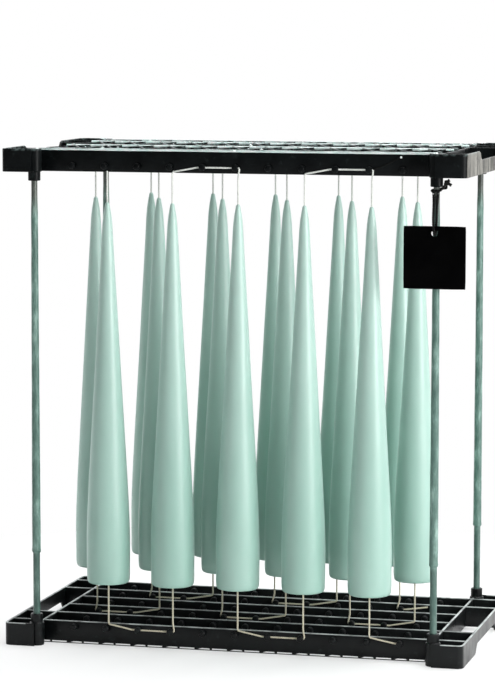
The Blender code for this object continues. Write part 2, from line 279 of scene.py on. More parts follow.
def add_turned(bm, outline, centre, sides, wobble=None):
    """Add a closed solid of (z, radius) turned round Z; radius 0 makes a pole."""
    rings = []
    for z, radius in outline:
        ring = []
        for k in range(sides):
            t = 2 * math.pi * k / sides
            r = radius + (wobble(z, t) if wobble else 0.0)
            ring.append(bm.verts.new(centre + Vector((r * math.cos(t), r * math.sin(t), z))))
        rings.append(ring)
    skin(bm, rings)
    bm.faces.new(rings[0])
    bm.faces.new(rings[-1])


def add_bar(bm, x, y, z, edge=0.35 * MM, matrix=None):
    """Add a box between the pairs x, y and z with softened edges."""
    part = bmesh.new()
    size = [b - a for a, b in (x, y, z)]
    middle = [(a + b) / 2 for a, b in (x, y, z)]
    bmesh.ops.create_cube(part, size=1.0,
                          matrix=Matrix.Translation(middle) @ Matrix.Diagonal((*size, 1.0)))
    bmesh.ops.bevel(part, geom=part.edges[:], offset=edge, segments=2, profile=0.5,
                    affect="EDGES")
    if matrix:
        part.transform(matrix)
    mesh = bpy.data.meshes.new("bar")
    part.to_mesh(mesh)
    part.free()
    bm.from_mesh(mesh)
    bpy.data.meshes.remove(mesh)


def stud_x(number):
    """Place along X of a stud, counted from the left."""
    return (number - (STUDS + 1) / 2) * STUD_PITCH


def rib_y(number):
    """Place along Y of a rib, counted from the front."""
    return (number - (RIBS + 1) / 2) * RIB_PITCH


def ease(t):
    """A smooth step from 0 to 1."""
    t = min(1.0, max(0.0, t))
    return t * t * (3 - 2 * t)


# Materials ------------------------------------------------------------------------------

def new_material(name, roughness):
    mat = bpy.data.materials.new(name)
    mat.use_nodes = True
    shader = mat.node_tree.nodes["Principled BSDF"]
    shader.inputs["Roughness"].default_value = roughness
    return mat, mat.node_tree, shader


def noise_node(tree, scale, detail=3.0, roughness=0.5, stretch=(1.0, 1.0, 1.0)):
    """A noise texture on the object's own coordinates, in metres."""
    where = tree.nodes.new("ShaderNodeTexCoord")
    mapping = tree.nodes.new("ShaderNodeMapping")
    mapping.inputs["Scale"].default_value = stretch
    tree.links.new(where.outputs["Object"], mapping.inputs["Vector"])
    texture = tree.nodes.new("ShaderNodeTexNoise")
    texture.inputs["Scale"].default_value = scale
    texture.inputs["Detail"].default_value = detail
    texture.inputs["Roughness"].default_value = roughness
    tree.links.new(mapping.outputs["Vector"], texture.inputs["Vector"])
    return texture


def ramp(tree, source, stops):
    node = tree.nodes.new("ShaderNodeValToRGB")
    elements = node.color_ramp.elements
    while len(elements) < len(stops):
        elements.new(0.5)
    for element, (position, colour) in zip(elements, stops):
        element.position = position
        element.color = (*colour, 1.0)
    tree.links.new(source, node.inputs["Fac"])
    return node


def mix(tree, factor, first, second):
    """Mix two colours; each is a socket or an RGB tuple, the factor a socket or number."""
    node = tree.nodes.new("ShaderNodeMix")
    node.data_type = "RGBA"
    for socket, value in ((node.inputs[0], factor), (node.inputs[6], first),
                          (node.inputs[7], second)):
        if isinstance(value, bpy.types.NodeSocket):
            tree.links.new(value, socket)
        elif isinstance(value, tuple):
            socket.default_value = (*value, 1.0)
        else:
            socket.default_value = value
    return node.outputs[2]


def spread(tree, source, low, high, to_low=0.0, to_high=1.0):
    """Map a range of a value to another range, clamped."""
    node = tree.nodes.new("ShaderNodeMapRange")
    for name, value in (("From Min", low), ("From Max", high), ("To Min", to_low),
                        ("To Max", to_high)):
        node.inputs[name].default_value = value
    tree.links.new(source, node.inputs["Value"])
    return node.outputs["Result"]


def add_bump(tree, shader, height, strength, distance):
    node = tree.nodes.new("ShaderNodeBump")
    node.inputs["Strength"].default_value = strength
    node.inputs["Distance"].default_value = distance
    tree.links.new(height, node.inputs["Height"])
    tree.links.new(node.outputs["Normal"], shader.inputs["Normal"])


def height_above_floor(tree):
    """The Z coordinate of a point, in metres."""
    where = tree.nodes.new("ShaderNodeTexCoord")
    split = tree.nodes.new("ShaderNodeSeparateXYZ")
    tree.links.new(where.outputs["Object"], split.inputs[0])
    return split.outputs["Z"]


def across(tree, axis="X"):
    """How far to either side of the middle a point lies."""
    where = tree.nodes.new("ShaderNodeTexCoord")
    split = tree.nodes.new("ShaderNodeSeparateXYZ")
    size = tree.nodes.new("ShaderNodeMath")
    size.operation = "ABSOLUTE"
    tree.links.new(where.outputs["Object"], split.inputs[0])
    tree.links.new(split.outputs[axis], size.inputs[0])
    return size.outputs[0]


def multiply(tree, first, second):
    node = tree.nodes.new("ShaderNodeMath")
    node.operation = "MULTIPLY"
    for socket, value in zip(node.inputs, (first, second)):
        if isinstance(value, bpy.types.NodeSocket):
            tree.links.new(value, socket)
        else:
            socket.default_value = value
    return node.outputs[0]


def candle_wax():
    """Satin pale green wax, a touch deeper in slow drifts, with fine dip rings; paler towards the
    tip, a painted glow of light through the thin wax.
    """
    mat, tree, shader = new_material("candle_wax", 0.42)
    drift = noise_node(tree, 26.0, 2.0, 0.5, (1.0, 1.0, 0.35))
    colour = ramp(tree, drift.outputs["Fac"], [(0.35, (0.285, 0.475, 0.405)),
                                               (0.65, (0.325, 0.515, 0.445))])
    speck = noise_node(tree, 900.0, 2.0)
    dots = spread(tree, speck.outputs["Fac"], 0.70, 0.78, 0.0, 0.25)
    # Painted glow: the wax is mixed paler towards the tip, standing in for light coming through the
    # thin wax.
    thin = spread(tree, height_above_floor(tree), CANDLE_BASE + 60 * MM, CANDLE_BASE + 330 * MM,
                  0.0, 0.38)
    tone = mix(tree, thin, colour.outputs["Color"], (0.56, 0.68, 0.64))
    tree.links.new(mix(tree, dots, tone, (0.52, 0.69, 0.63)), shader.inputs["Base Color"])
    rings = noise_node(tree, 60.0, 3.0, 0.6, (0.25, 0.25, 1.6))
    add_bump(tree, shader, rings.outputs["Fac"], 0.06, 0.4 * MM)
    shine = noise_node(tree, 45.0, 2.0)
    tree.links.new(spread(tree, shine.outputs["Fac"], 0.3, 0.7, 0.34, 0.46),
                   shader.inputs["Roughness"])
    shader.inputs["Specular IOR Level"].default_value = 0.70
    shader.inputs["Coat Weight"].default_value = 0.35
    shader.inputs["Coat Roughness"].default_value = 0.45
    shader.inputs["Subsurface Weight"].default_value = 0.10
    shader.inputs["Subsurface Radius"].default_value = (0.5, 1.0, 0.8)
    shader.inputs["Subsurface Scale"].default_value = 2.0 * MM
    return mat


def grid_plastic(name, gloss, waxed_from=None):
    """Black moulded plastic with a fine grain, waxed pale where the frame was dipped, with a
    painted highlight along the lower grid's top edges.
    """
    mat, tree, shader = new_material(name, 0.34)
    cloud = noise_node(tree, 38.0, 4.0, 0.6)
    black = ramp(tree, cloud.outputs["Fac"], [(0.35, (0.0022, 0.0028, 0.0030)),
                                              (0.7, (0.0052, 0.0066, 0.0070))])
    dull = noise_node(tree, 140.0, 4.0, 0.65)
    film = spread(tree, dull.outputs["Fac"], 0.60, 0.74, 0.0, 0.05)
    colour = mix(tree, film, black.outputs["Color"], (0.20, 0.27, 0.26))
    z = height_above_floor(tree)
    # Painted highlight: a pale line along the top edge of the lower grid's walls, broken up by
    # noise and left off the bosses and the ears beyond the outer ribs.
    rim = spread(tree, z, RIM - 0.95 * MM, RIM - 0.45 * MM)
    rim_highlight_breaks = spread(tree, noise_node(tree, 60.0, 3.0, 0.6).outputs["Fac"], 0.38, 0.60, 0.35, 1.0)
    lower_only = spread(tree, z, RIM + 2 * MM, RIM + 4 * MM, 1.0, 0.0)
    beyond = spread(tree, across(tree, "Y"), FRONT + 4 * MM, FRONT + 5 * MM)
    inward = spread(tree, across(tree), POST_X + 8 * MM, POST_X + 9 * MM, 1.0, 0.0)
    off_boss = spread(tree, multiply(tree, beyond, inward), 0.0, 1.0, 1.0, 0.0)
    pale = multiply(tree, multiply(tree, rim, lower_only), multiply(tree, rim_highlight_breaks, off_boss))
    colour = mix(tree, pale, colour, (0.46, 0.50, 0.49))
    ends = spread(tree, across(tree), OUTER_X - 0.8 * MM, OUTER_X - 0.3 * MM,
                  0.0, LOWER_END_FILM if waxed_from is None else 1.0)
    streak = noise_node(tree, 90.0, 4.0, 0.65, (1.0, 1.0, 0.22))
    drips = spread(tree, streak.outputs["Fac"], 0.36, 0.62, 0.15, 0.85)
    colour = mix(tree, multiply(tree, ends, drips), colour, (0.30, 0.29, 0.26))
    if waxed_from is not None:
        coat = spread(tree, z, waxed_from, waxed_from + 3.0 * MM)
        patch = spread(tree, noise_node(tree, 170.0, 3.0, 0.6).outputs["Fac"], 0.46, 0.66, 0.0, 0.6)
        colour = mix(tree, multiply(tree, coat, patch), colour, (0.30, 0.39, 0.38))
    tree.links.new(colour, shader.inputs["Base Color"])
    tree.links.new(spread(tree, cloud.outputs["Fac"], 0.3, 0.7, 0.26, 0.42),
                   shader.inputs["Roughness"])
    shader.inputs["Specular IOR Level"].default_value = gloss
    grain = noise_node(tree, 1500.0, 2.0)
    add_bump(tree, shader, grain.outputs["Fac"], 0.10, 0.12 * MM)
    return mat


def wax_film():
    """The pale cooled wax that clings to the outer edges of the upper grid."""
    mat, tree, shader = new_material("wax_film", 0.30)
    cloud = noise_node(tree, 120.0, 3.0, 0.6)
    colour = ramp(tree, cloud.outputs["Fac"], [(0.3, (0.55, 0.70, 0.67)),
                                               (0.7, (0.80, 0.86, 0.85))])
    tree.links.new(colour.outputs["Color"], shader.inputs["Base Color"])
    add_bump(tree, shader, cloud.outputs["Fac"], 0.25, 0.4 * MM)
    shader.inputs["Subsurface Weight"].default_value = 0.25
    shader.inputs["Subsurface Radius"].default_value = (0.6, 1.0, 0.9)
    shader.inputs["Subsurface Scale"].default_value = 1.5 * MM
    return mat


def post_coat():
    """Dark rod under a thin mottled coat of green wax; barer near its top."""
    mat, tree, shader = new_material("post_coat", 0.36)
    mottle = noise_node(tree, 160.0, 4.0, 0.65, (1.0, 1.0, 0.28))
    coat = ramp(tree, mottle.outputs["Fac"], [(0.30, (0.045, 0.105, 0.085)),
                                              (0.52, (0.105, 0.195, 0.165)),
                                              (0.72, (0.27, 0.41, 0.36))])
    rod = ramp(tree, mottle.outputs["Fac"], [(0.35, (0.022, 0.026, 0.021)),
                                             (0.70, (0.15, 0.17, 0.15))])
    z = height_above_floor(tree)
    above = spread(tree, z, UPPER_RIM - 44 * MM, UPPER_RIM - 22 * MM)
    colour = mix(tree, above, coat.outputs["Color"], rod.outputs["Color"])
    foot = spread(tree, z, RIM + COLLAR + 58 * MM, RIM + COLLAR + 63 * MM, 0.55, 0.0)
    colour = mix(tree, foot, colour, (0.025, 0.06, 0.048))
    tree.links.new(colour, shader.inputs["Base Color"])
    add_bump(tree, shader, mottle.outputs["Fac"], 0.35, 0.5 * MM)
    return mat


def wick_cotton():
    """Waxed cotton yarn, creamier low down."""
    mat, tree, shader = new_material("wick_cotton", 0.62)
    fibre = noise_node(tree, 1400.0, 3.0, 0.6)
    low = ramp(tree, fibre.outputs["Fac"], [(0.3, (0.50, 0.45, 0.33)),
                                            (0.7, (0.76, 0.72, 0.58))])
    high = ramp(tree, fibre.outputs["Fac"], [(0.3, (0.56, 0.58, 0.54)),
                                             (0.7, (0.82, 0.84, 0.80))])
    part = spread(tree, height_above_floor(tree), 0.12, 0.40)
    colour = mix(tree, part, low.outputs["Color"], high.outputs["Color"])
    tree.links.new(colour, shader.inputs["Base Color"])
    add_bump(tree, shader, fibre.outputs["Fac"], 0.4, 0.15 * MM)
    return mat


def tag_card():
    """Coated black card: a faint paper tooth, barely lighter where it has been handled."""
    mat, tree, shader = new_material("tag_card", 0.32)
    tooth = noise_node(tree, 700.0, 4.0, 0.6)
    hand = noise_node(tree, 40.0, 2.0)
    colour = ramp(tree, hand.outputs["Fac"], [(0.35, (0.0006, 0.0006, 0.0007)),
                                              (0.70, (0.0014, 0.0014, 0.0015))])
    tree.links.new(colour.outputs["Color"], shader.inputs["Base Color"])
    tree.links.new(spread(tree, hand.outputs["Fac"], 0.3, 0.7, 0.28, 0.40),
                   shader.inputs["Roughness"])
    shader.inputs["Specular IOR Level"].default_value = 0.02
    add_bump(tree, shader, tooth.outputs["Fac"], 0.08, 0.08 * MM)
    return mat


def cord_yarn():
    """Black twisted yarn with a slight sheen on its fibres."""
    mat, tree, shader = new_material("cord_yarn", 0.58)
    fibre = noise_node(tree, 2200.0, 3.0, 0.6)
    colour = ramp(tree, fibre.outputs["Fac"], [(0.3, (0.0012, 0.0012, 0.0012)),
                                               (0.75, (0.0075, 0.0075, 0.0072))])
    tree.links.new(colour.outputs["Color"], shader.inputs["Base Color"])
    add_bump(tree, shader, fibre.outputs["Fac"], 0.5, 0.12 * MM)
    shader.inputs["Specular IOR Level"].default_value = 0.12
    shader.inputs["Sheen Weight"].default_value = 0.02
    shader.inputs["Sheen Roughness"].default_value = 0.4
    return mat


# Cords ----------------------------------------------------------------------------------

def cord_points():
    """The tag's cord: down the front, back through the tag's hole and up again."""
    left, right = POST_X - CORD_SIDE, POST_X + CORD_SIDE
    return [
        Vector((left - 0.8 * MM, SWING_Y, SWING_Z)),
        Vector((left - 0.3 * MM, SWING_Y - 1.6 * MM, SWING_Z - 9 * MM)),
        Vector((left, STRAND_FRONT_Y + 1.0 * MM, HOLE_Z + 14 * MM)),
        Vector((left + 0.4 * MM, STRAND_FRONT_Y, HOLE_Z + 6 * MM)),
        Vector((POST_X - 0.5 * MM, STRAND_FRONT_Y, HOLE_Z + 0.6 * MM)),
        Vector((POST_X, TAG_BACK_Y - TAG_THICK / 2, HOLE_Z - 1.0 * MM)),
        Vector((POST_X + 0.5 * MM, STRAND_BACK_Y, HOLE_Z + 0.6 * MM)),
        Vector((right - 0.4 * MM, STRAND_BACK_Y, HOLE_Z + 6 * MM)),
        Vector((right, STRAND_BACK_Y, HOLE_Z + 14 * MM)),
        Vector((right + 0.3 * MM, STRAND_BACK_Y - 0.3 * MM, SWING_Z - 9 * MM)),
        Vector((right + 0.8 * MM, SWING_Y, SWING_Z)),
    ]


def hitch_points():
    """The turn of cord round the post, from its front left round the back to the knot."""
    ring = POST_UPPER + GAP + CORD_RADIUS
    points = []
    for degrees in (232, 195, 150, 105, 65, 30):
        t = math.radians(degrees)
        z = RING_Z + 2.5 * MM * (232 - degrees) / 202
        points.append(Vector((POST_X + ring * math.cos(t), -POST_Y + ring * math.sin(t), z)))
    points.append(Vector((POST_X + 8.4 * MM, -POST_Y + 1.2 * MM, RING_Z + 3.0 * MM)))
    towards = KNOT - points[-1]
    points.append(KNOT - towards.normalized() * (KNOT_RADIUS + 4 * GAP))
    return points


def build_cord(name, points, mat, body, node):
    """A two-ply twisted cord on its CAD route."""
    route = smooth_route(points, 8)
    bm = bmesh.new()
    add_rope(bm, route, CORD_RADIUS, 2, CORD_LAY, 0.35 * MM, 10)
    obj = place(name, mesh_from(bm, name, 60), mat, body, "black_cord", node)
    return obj, route


def build_knot(mat):
    """An overhand knot, its two cut ends, and the bight round the post to the tag's cord."""
    bm = bmesh.new()
    turns = []
    for i in range(49):
        t = 2 * math.pi * i / 48
        wide = 1.15 * MM * (1 + 0.22 * math.cos(3 * t))
        turns.append(KNOT + Vector((wide * math.cos(2 * t), 0.6 * MM * math.sin(3 * t),
                                    wide * math.sin(2 * t))))
    add_rope(bm, turns, 1.5 * MM, 2, 3.6 * MM, 0.3 * MM, 8)
    for tip in KNOT_TIPS:
        bend = KNOT + tip * 0.55 + UP * 0.25 * MM
        add_rope(bm, smooth_route([KNOT, bend, KNOT + tip], 6), 1.5 * MM, 2, 3.9 * MM,
                 0.3 * MM, 8)
    strand_top = Vector((POST_X + CORD_SIDE + 0.8 * MM, SWING_Y, SWING_Z + CORD_RADIUS))
    far_top = Vector((POST_X - CORD_SIDE - 0.8 * MM, SWING_Y, SWING_Z + CORD_RADIUS))
    rise = UP * 2.2 * MM
    sag = KNOT.lerp(strand_top, 0.55) - UP * 0.4 * MM
    for points in ([KNOT, sag, strand_top + rise * 0.5, strand_top],
                   [strand_top + rise, strand_top.lerp(far_top, 0.5) + rise,
                    far_top + rise * 0.7, far_top]):
        add_rope(bm, smooth_route(points, 6), CORD_RADIUS, 2, CORD_LAY, 0.3 * MM, 8)
    return place("cord_knot_detail", mesh_from(bm, "cord_knot_detail", 60), mat,
                 "cord_loop", "black_cord", "cord_knot")


# Hang tag -------------------------------------------------------------------------------

def build_tag(mat):
    """Square card with small rounded corners, soft edges and one punched hole."""
    half, corner, sides = TAG_SIDE / 2, 0.8 * MM, 48
    middle_z = HOLE_Z + TAG_HOLE_DROP - half
    front, back = TAG_BACK_Y - TAG_THICK, TAG_BACK_Y

    def outer(inset):
        """The square's outline, seen from the hole at even turns."""
        points = []
        for k in range(sides):
            t = 2 * math.pi * (k + 0.5) / sides
            u, v = math.cos(t), math.sin(t)
            x_reach = (half - inset) / max(abs(u), 1e-9)
            room = half - inset + (middle_z - HOLE_Z) * (1 if v > 0 else -1)
            reach = min(x_reach, room / max(abs(v), 1e-9))
            points.append((u * reach, v * reach))
        return snap_corners(points, half - inset, middle_z - HOLE_Z)

    def snap_corners(points, size, centre):
        """Move the nearest point of the outline onto each corner."""
        for sx in (-1, 1):
            for sz in (-1, 1):
                target = (sx * size, centre + sz * size)
                nearest = min(range(len(points)), key=lambda i: math.dist(points[i], target))
                points[nearest] = (target[0] - sx * corner * 0.3, target[1] - sz * corner * 0.3)
        return points

    def hole(radius):
        turns = [2 * math.pi * (k + 0.5) / sides for k in range(sides)]
        return [(radius * math.cos(t), radius * math.sin(t)) for t in turns]

    bm = bmesh.new()
    edge = 0.22 * MM
    loops = [(hole(TAG_HOLE_RADIUS), front + edge), (hole(TAG_HOLE_RADIUS + edge), front),
             (outer(edge), front), (outer(0.0), front + edge), (outer(0.0), back - edge),
             (outer(edge), back), (hole(TAG_HOLE_RADIUS + edge), back),
             (hole(TAG_HOLE_RADIUS), back - edge)]
    rings = [[bm.verts.new((POST_X + x, y, HOLE_Z + z)) for x, z in loop] for loop, y in loops]
    skin(bm, rings + [rings[0]])
    return place("hang_tag_card", mesh_from(bm, "hang_tag_card"), mat, "tag",
                 "black_card", "hang_tag")


# Candles, wicks and posts ---------------------------------------------------------------

def candle_profile():
    """Heights and radii up a candle, from the rim of its foot to the wick at its tip."""
    knots = [Vector((r, 0.0, z)) * MM for z, r in CANDLE_OUTLINE[2:]]
    foot = [(1.2, 1.2), (0.4, 3.2), (0.0, 9.0), (0.0, 17.4), (0.2, 18.5), (0.7, 19.3),
            (1.6, 19.9), (3.2, 20.35), (5.6, 20.6)]
    tip = [(364.6, 1.55), (365.3, 1.1)]
    body = [(p.z, p.x) for p in smooth_route(knots, 9)]
    low, high = [[(z * MM, r * MM) for z, r in part] for part in (foot, tip)]
    return low + body + high


def build_candles(mat):
    """Sixteen hand-dipped cones: each one a little out of round in its own way."""
    profile = candle_profile()
    seed = 0
    for row, rib, first, side in ROWS:
        y = rib_y(rib) - WALL / 2 - WICK_OUT
        for count, stud in enumerate(range(first, STUDS + 1, 2), 1):
            seed += 1
            bm = bmesh.new()
            start = Vector((stud_x(stud) + side, y, CANDLE_BASE))

            def wobble(z, t, seed=seed):
                at = Vector((math.cos(t) * 0.9, math.sin(t) * 0.9, z * 14.0 + seed * 7.3))
                fade = ease(z / (14 * MM)) * ease((0.365 - z) / (60 * MM))
                return 0.16 * MM * fade * noise.noise(at)

            add_turned(bm, profile, start, 56, wobble)
            name = f"candle_{row}_{count}"
            place(name + "_wax", mesh_from(bm, name, 50), mat, "frame", "green_wax", name)


def link_points(run, stud, side, z, back):
    """A link from the run beside a stud to the run two studs on, as (x, z) points.

    It goes straight through two eyes and slants to the run that has none.
    """
    there = run + 2 * STUD_PITCH
    if side > 0:
        return [(run, z + back), (stud_x(stud + 1) - WICK_LEVEL, z),
                (stud_x(stud + 2) + WICK_PASS, z), (there, z + 2 * back)]
    return [(run, z + 2 * back), (stud_x(stud) - WICK_PASS, z),
            (stud_x(stud + 1) + WICK_LEVEL, z), (there, z + back)]


def wick_points(rib, first, side):
    """One wick: down and up beside its studs, and through the eyes between them."""
    y = rib_y(rib) - WALL / 2 - WICK_OUT
    low, high = RIM - STUD_DROP, UPPER_RIM + STUD_DROP
    studs = range(first, STUDS + 1, 2)
    route = [(stud_x(first) + side, high - WICK_OVER)]
    for count, stud in enumerate(studs[:-1]):
        z, back = (low, WICK_OVER) if count % 2 == 0 else (high, -WICK_OVER)
        route += link_points(stud_x(stud) + side, stud, side, z, back)
    last = studs[-1]
    if last == STUDS:
        route.append((stud_x(last) + side, high - WICK_OVER))
    else:
        route += link_points(stud_x(last) + side, last, side, low, WICK_OVER)[:3]
        if side > 0:
            route[-1] = (stud_x(STUDS) + WICK_EYE_END, low)
        else:
            route[-1] = (stud_x(last) + WICK_LEVEL, low)
            route.append((stud_x(STUDS) - WICK_LEVEL, low + WICK_TAIL_RISE))
    return rounded([Vector((x, y, z)) for x, z in route], WICK_BEND)


def build_wicks(mat):
    """Three threaded wicks, each laid up from three strands."""
    for row, rib, first, side in ROWS:
        bm = bmesh.new()
        add_rope(bm, wick_points(rib, first, side), WICK_RADIUS, 3, WICK_LAY, 0.6 * MM, 6)
        name = f"wick_{row}"
        place(name + "_yarn", mesh_from(bm, name, 60), mat, "frame", "wick_cotton", name)


def tail_points():
    """The loose end slants up across the face of the front rail."""
    y = rib_y(1) - WALL / 2 - TAIL_RADIUS - 0.1 * MM
    (x0, x1), (z0, z1) = TAIL_RUN, TAIL_Z
    start, end = (Vector((stud_x(TAIL_STUD) + x, y, z)) for x, z in ((x0, z0), (x1, z1)))
    sag = start.lerp(end, 0.5) - UP * 0.8 * MM
    return [start, sag, end]


def build_tail(dark, pale):
    """The loose end itself, drawn in the black cord yarn, with a pale bead of wax at its tip."""
    bm = bmesh.new()
    route = smooth_route(tail_points(), 8)
    add_rope(bm, route, TAIL_RADIUS, 3, WICK_LAY, 0.6 * MM, 6)
    place("wick_tail_yarn", mesh_from(bm, "wick_tail_yarn", 60), dark, "frame", "wick_cotton")
    bm = bmesh.new()
    bmesh.ops.create_icosphere(bm, subdivisions=2, radius=1.15 * MM,
                               matrix=Matrix.Translation(route[-1]))
    place("wick_tail_bead", mesh_from(bm, "wick_tail_bead", 60), pale, "frame", "green_wax")


def build_posts(mat):
    """Rods with an uneven coat of wax, thickest at the ragged step above the socket."""
    end = HEIGHT - SOCKET_FLOOR - GAP
    seed = 0
    for sx, side in ((-1, "left"), (1, "right")):
        for sy, row in ((-1, "front"), (1, "back")):
            seed += 1
            step = COAT_FOOT + POST_STEP_SHIFT.get((row, side), 0.0)

            def wobble(z, t, seed=seed, step=step):
                round_it = Vector((math.cos(t), math.sin(t), 0.0))
                slow = noise.noise(round_it * 0.7 + UP * (z * 55.0 + seed * 11.0))
                fine = noise.noise(round_it * 1.4 + UP * (z * 160.0 + seed * 5.0))
                ragged = 1.6 * MM * noise.noise(round_it + UP * seed * 3.0)
                up = (z - step - ragged) / (COAT_TOP - step)
                coat = ease((z - step - ragged) / (1.8 * MM))
                coat *= 1 - ease((z - COAT_TOP) / (18 * MM))
                bead = math.exp(-((z - step - ragged - 2.4 * MM) / (2.2 * MM)) ** 2)
                thick = POST_WAXED + (POST_THIN_COAT - POST_WAXED) * min(1.0, max(0.0, up))
                thick += 0.2 * MM * bead + 0.13 * MM * slow - POST_LOWER - 0.15 * MM
                return coat * thick + 0.06 * MM * fine

            outline = []
            z = SOCKET_FLOOR + GAP
            while z < end:
                thin = ease((z - COAT_TOP) / (18 * MM))
                outline.append((z, POST_LOWER - (POST_LOWER - POST_UPPER) * thin))
                z += 0.7 * MM if abs(z - step) < 8 * MM else 2.4 * MM
            outline.append((end, POST_UPPER))
            bm = bmesh.new()
            add_turned(bm, outline, Vector((sx * POST_X, sy * POST_Y, 0.0)), 24, wobble)
            name = f"post_{row}_{side}"
            place(name + "_coated", mesh_from(bm, name, 50), mat, "frame", "waxed_post", name)


# Grids ----------------------------------------------------------------------------------

def arc(cx, cy, radius, steps, first, last):
    turns = [first + (last - first) * i / steps for i in range(steps + 1)]
    return [(cx + radius * math.cos(t), cy + radius * math.sin(t)) for t in turns]


def end_wall_line(inset):
    """One end wall seen from above: ear, corner, end, corner, ear; point by point."""
    x, y = OUTER_X - inset, FRONT + EAR - inset
    radius = EAR_RADIUS - inset
    line = [(POST_X, -y)]
    line += arc(x - radius, -y + radius, radius, 8, -math.pi / 2, 0.0)
    reach = FRONT + EAR - EAR_RADIUS
    straight = [-reach + 2 * reach * i / 60 for i in range(1, 60)]
    line += [(x, v) for v in straight]
    line += arc(x - radius, y - radius, radius, 8, 0.0, math.pi / 2)
    return line + [(POST_X, y)]


def notch_floor(y):
    """Height of the lower edge of an end wall at a place along it."""
    return NOTCH_DEPTH * (1 - ease((abs(y) - NOTCH_HALF + 5 * MM) / (10 * MM)))


def add_end_wall(bm, side):
    """The thin wall round one end, swept with a soft-edged section."""
    edge = 0.4 * MM
    section = [(0.0, 0, edge), (0.0, 1, -edge), (edge, 1, 0.0), (WALL - edge, 1, 0.0),
               (WALL, 1, -edge), (WALL, 0, edge), (WALL - edge, 0, 0.0), (edge, 0, 0.0)]
    lines = [end_wall_line(inset) for inset, _, _ in section]
    rings = []
    for corners in zip(*lines):
        ring = []
        for (x, y), (_, top, shift) in zip(corners, section):
            z = (RIM if top else notch_floor(y)) + shift
            ring.append(bm.verts.new((side * x, y, z)))
        rings.append(ring)
    skin(bm, rings)
    bm.faces.new(rings[0])
    bm.faces.new(rings[-1])


def add_socket(bm, x, y):
    """A corner boss with its collar, and the socket sunk into it."""
    soft = 0.5 * MM
    outline = [(0.0, BOSS_RADIUS - soft), (soft, BOSS_RADIUS), (RIM - soft, BOSS_RADIUS),
               (RIM, BOSS_RADIUS - soft), (RIM, COLLAR_RADIUS + 0.4 * MM),
               (RIM + 0.4 * MM, COLLAR_RADIUS), (RIM + COLLAR - soft, COLLAR_RADIUS),
               (RIM + COLLAR, COLLAR_RADIUS - soft), (RIM + COLLAR, SOCKET_RADIUS + soft),
               (RIM + COLLAR - soft, SOCKET_RADIUS), (SOCKET_FLOOR, SOCKET_RADIUS)]
    add_turned(bm, outline, Vector((x, y, 0.0)), 40)


def eyed_studs(first, side):
    """Studs whose eye a wick goes through, on a rib strung from the given stud.

    Both grids are one moulding and the upper one is turned over, so the set
    also holds the mirrored places of the upper links.
    """
    steps = (1, 2) if side > 0 else (0, 1)
    below = {link + step for link in range(first, STUDS + 1, 4) for step in steps}
    above = {link + step for link in range(first + 2, STUDS - 2, 4) for step in steps}
    eyed = below | {STUDS + 1 - stud for stud in above}
    return {stud for stud in eyed if stud <= STUDS}


def add_stud(bm, x, face_y, z, eyed):
    """A round peg with a domed head; an eyed one is split behind its head."""
    forward = Matrix.Translation((x, face_y, z)) @ Matrix.Rotation(math.pi / 2, 4, "X")
    head = 2 * WICK_OUT - 0.1 * MM if eyed else -0.6 * MM
    dome = [(head, STUD_RADIUS - 0.15 * MM), (head + 0.15 * MM, STUD_RADIUS),
            (STUD_LENGTH - 0.9 * MM, STUD_RADIUS), (STUD_LENGTH - 0.45 * MM, 2.85 * MM),
            (STUD_LENGTH - 0.15 * MM, 2.3 * MM), (STUD_LENGTH, 1.2 * MM)]
    part = bmesh.new()
    add_turned(part, dome, Vector(), 20)
    if eyed:
        start = math.asin(EYE_HALF / STUD_RADIUS)
        for up in (1, -1):
            half = arc(0.0, 0.0, STUD_RADIUS, 10, start, math.pi - start)
            rings = [[part.verts.new((u, up * v, w)) for u, v in half]
                     for w in (-0.6 * MM, head + 0.1 * MM)]
            skin(part, rings)
            part.faces.new(rings[0])
            part.faces.new(rings[1])
    part.transform(forward)
    mesh = bpy.data.meshes.new("stud")
    part.to_mesh(mesh)
    part.free()
    bm.from_mesh(mesh)
    bpy.data.meshes.remove(mesh)


def lattice_lines():
    """Ends of the crossing bars of the outer face, clipped at the cross walls."""
    depth = (RIBS - 1) * RIB_PITCH
    run = (RIBS - 1) * LATTICE_STEP
    limit = CROSS_X
    lines = []
    for lean in (1, -1):
        first = -round((limit + run) / STUD_PITCH)
        for number in range(first, -first + 1):
            x0 = number * STUD_PITCH - lean * run / 2
            x1 = x0 + lean * run
            low, high = 0.0, 1.0
            for bound, sign in ((limit, 1), (-limit, -1)):
                a, b = sign * (bound - x0), sign * (bound - x1)
                if a < 0 and b < 0:
                    low, high = 1.0, 0.0
                elif a < 0:
                    low = max(low, a / (a - b))
                elif b < 0:
                    high = min(high, a / (a - b))
            if high - low > 0.02:
                ends = [Vector((x0 + (x1 - x0) * t, -FRONT + depth * t, 0.0))
                        for t in (low, high)]
                lines.append(tuple(ends))
    return lines


def add_lattice(bm):
    """The crossing bars of the outer face, and a thin bar under its long edges."""
    for y in (-FRONT, FRONT):
        add_bar(bm, (-CROSS_X, CROSS_X), (y - LATTICE_HALF, y + LATTICE_HALF),
                (0.0, LATTICE_EDGE), 0.15 * MM)
    for start, end in lattice_lines():
        along = end - start
        turn = Matrix.Rotation(math.atan2(along.y, along.x), 4, "Z")
        add_bar(bm, (0.0, along.length), (-LATTICE_HALF, LATTICE_HALF),
                (0.0, LATTICE_HIGH), 0.3 * MM, Matrix.Translation(start) @ turn)


